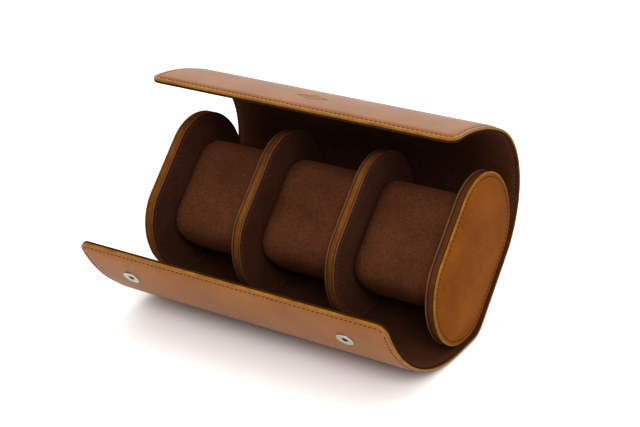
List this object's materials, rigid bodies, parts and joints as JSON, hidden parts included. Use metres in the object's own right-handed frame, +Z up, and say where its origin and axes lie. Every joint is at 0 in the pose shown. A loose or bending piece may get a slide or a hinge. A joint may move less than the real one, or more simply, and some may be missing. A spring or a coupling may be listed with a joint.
{
  "type": "watch roll",
  "caption": "Open leather watch roll: a lined wrap with curved upper and lower flaps around upright oval dividers and removable watch cushions, closed by snaps.",
  "frame": {"origin": "on the table, under the centre of the bounding box of the open roll", "axes": "+X along the row of bays towards the right-hand end, +Y to the back, away from the opening, +Z up"},
  "size_m": [0.2048, 0.1736, 0.1426],
  "materials": {
    "wrap_leather": "satin",
    "divider_leather": "satin",
    "lining_suede": "matte",
    "divider_suede": "matte",
    "stiff_board": "matte",
    "divider_board": "matte",
    "edge_leather": "satin",
    "foam": "matte",
    "cushion_suede": "matte",
    "snap_metal": "satin"
  },
  "bodies": {
    "core": {"back_panel_board": "stiff_board", "back_panel_leather": "wrap_leather", "back_panel_lining": "lining_suede", "left_end_core": "divider_board", "left_end_edge_band": "edge_leather", "left_end_outer_leather": "divider_leather", "left_end_outer_pad": "foam", "left_end_right_suede": "divider_suede", "left_inner_core": "divider_board", "left_inner_edge_band": "edge_leather", "left_inner_left_suede": "divider_suede", "left_inner_right_suede": "divider_suede", "right_end_core": "divider_board", "right_end_edge_band": "edge_leather", "right_end_left_suede": "divider_suede", "right_end_outer_leather": "divider_leather", "right_end_outer_pad": "foam", "right_inner_core": "divider_board", "right_inner_edge_band": "edge_leather", "right_inner_left_suede": "divider_suede", "right_inner_right_suede": "divider_suede"},
    "left_cushion": {"left_cushion_cover": "cushion_suede", "left_cushion_foam": "foam"},
    "lower_flap_1": {"lower_flap_1_board": "stiff_board", "lower_flap_1_leather": "wrap_leather", "lower_flap_1_lining": "lining_suede"},
    "lower_flap_2": {"lower_flap_2_board": "stiff_board", "lower_flap_2_leather": "wrap_leather", "lower_flap_2_lining": "lining_suede"},
    "lower_flap_3": {"lower_flap_3_board": "stiff_board", "lower_flap_3_leather": "wrap_leather", "lower_flap_3_lining": "lining_suede"},
    "lower_flap_4": {"lower_flap_4_board": "stiff_board", "lower_flap_4_leather": "wrap_leather", "lower_flap_4_lining": "lining_suede", "snap_socket_backs": "snap_metal", "snap_sockets": "snap_metal"},
    "middle_cushion": {"middle_cushion_cover": "cushion_suede", "middle_cushion_foam": "foam"},
    "right_cushion": {"right_cushion_cover": "cushion_suede", "right_cushion_foam": "foam"},
    "upper_flap_4": {"snap_stud_backs": "snap_metal", "snap_studs": "snap_metal", "upper_flap_4_board": "stiff_board", "upper_flap_4_leather": "wrap_leather", "upper_flap_4_lining": "lining_suede"},
    "upper_flap_1": {"upper_flap_1_board": "stiff_board", "upper_flap_1_leather": "wrap_leather", "upper_flap_1_lining": "lining_suede"},
    "upper_flap_2": {"upper_flap_2_board": "stiff_board", "upper_flap_2_leather": "wrap_leather", "upper_flap_2_lining": "lining_suede"},
    "upper_flap_3": {"upper_flap_3_board": "stiff_board", "upper_flap_3_leather": "wrap_leather", "upper_flap_3_lining": "lining_suede"}
  },
  "joints": [
    {"name": "upper_flap_curl", "type": "hinge", "parent": "core", "child": "upper_flap_1", "pos_m": [0, 0.07673, 0.05297], "axis": [1, 0, 0], "range_deg": [-8, 18.01]},
    {"name": "upper_flap_curl_2", "type": "hinge", "parent": "upper_flap_1", "child": "upper_flap_2", "pos_m": [0, 0.08138, 0.08795], "axis": [1, 0, 0], "range_deg": [-2.6, 5.85]},
    {"name": "upper_flap_curl_3", "type": "hinge", "parent": "upper_flap_2", "child": "upper_flap_3", "pos_m": [0, 0.0578, 0.12134], "axis": [1, 0, 0], "range_deg": [-5.52, 12.41]},
    {"name": "upper_flap_curl_4", "type": "hinge", "parent": "upper_flap_3", "child": "upper_flap_4", "pos_m": [0, 0.02632, 0.13392], "axis": [1, 0, 0], "range_deg": [-7.64, 17.18]},
    {"name": "lower_flap_curl", "type": "hinge", "parent": "core", "child": "lower_flap_1", "pos_m": [0, 0.00178, 0.00451], "axis": [-1, 0, 0], "range_deg": [-4, 29.85]},
    {"name": "lower_flap_curl_2", "type": "hinge", "parent": "lower_flap_1", "child": "lower_flap_2", "pos_m": [0, -0.01788, 0.00801], "axis": [-1, 0, 0], "range_deg": [-1.08, 8.01]},
    {"name": "lower_flap_curl_3", "type": "hinge", "parent": "lower_flap_2", "child": "lower_flap_3", "pos_m": [0, -0.03738, 0.01571], "axis": [-1, 0, 0], "range_deg": [-1.8, 13.37]},
    {"name": "lower_flap_curl_4", "type": "hinge", "parent": "lower_flap_3", "child": "lower_flap_4", "pos_m": [0, -0.0549, 0.02723], "axis": [-1, 0, 0], "range_deg": [-3.28, 24.41]},
    {"name": "left_cushion_lift", "type": "slide", "parent": "core", "child": "left_cushion", "axis": [0, 0.866, -0.5], "range_m": [-0.07, 0]},
    {"name": "middle_cushion_lift", "type": "slide", "parent": "core", "child": "middle_cushion", "axis": [0, 0.866, -0.5], "range_m": [-0.07, 0]},
    {"name": "right_cushion_lift", "type": "slide", "parent": "core", "child": "right_cushion", "axis": [0, 0.866, -0.5], "range_m": [-0.07, 0]}
  ],
  "couplings": [
    {"joint": "upper_flap_curl_2", "follows": "upper_flap_curl", "ratio": 0.32426},
    {"joint": "upper_flap_curl_3", "follows": "upper_flap_curl", "ratio": 0.68851},
    {"joint": "upper_flap_curl_4", "follows": "upper_flap_curl", "ratio": 0.95336},
    {"joint": "lower_flap_curl_2", "follows": "lower_flap_curl", "ratio": 0.26801},
    {"joint": "lower_flap_curl_3", "follows": "lower_flap_curl", "ratio": 0.44757},
    {"joint": "lower_flap_curl_4", "follows": "lower_flap_curl", "ratio": 0.81742}
  ]
}
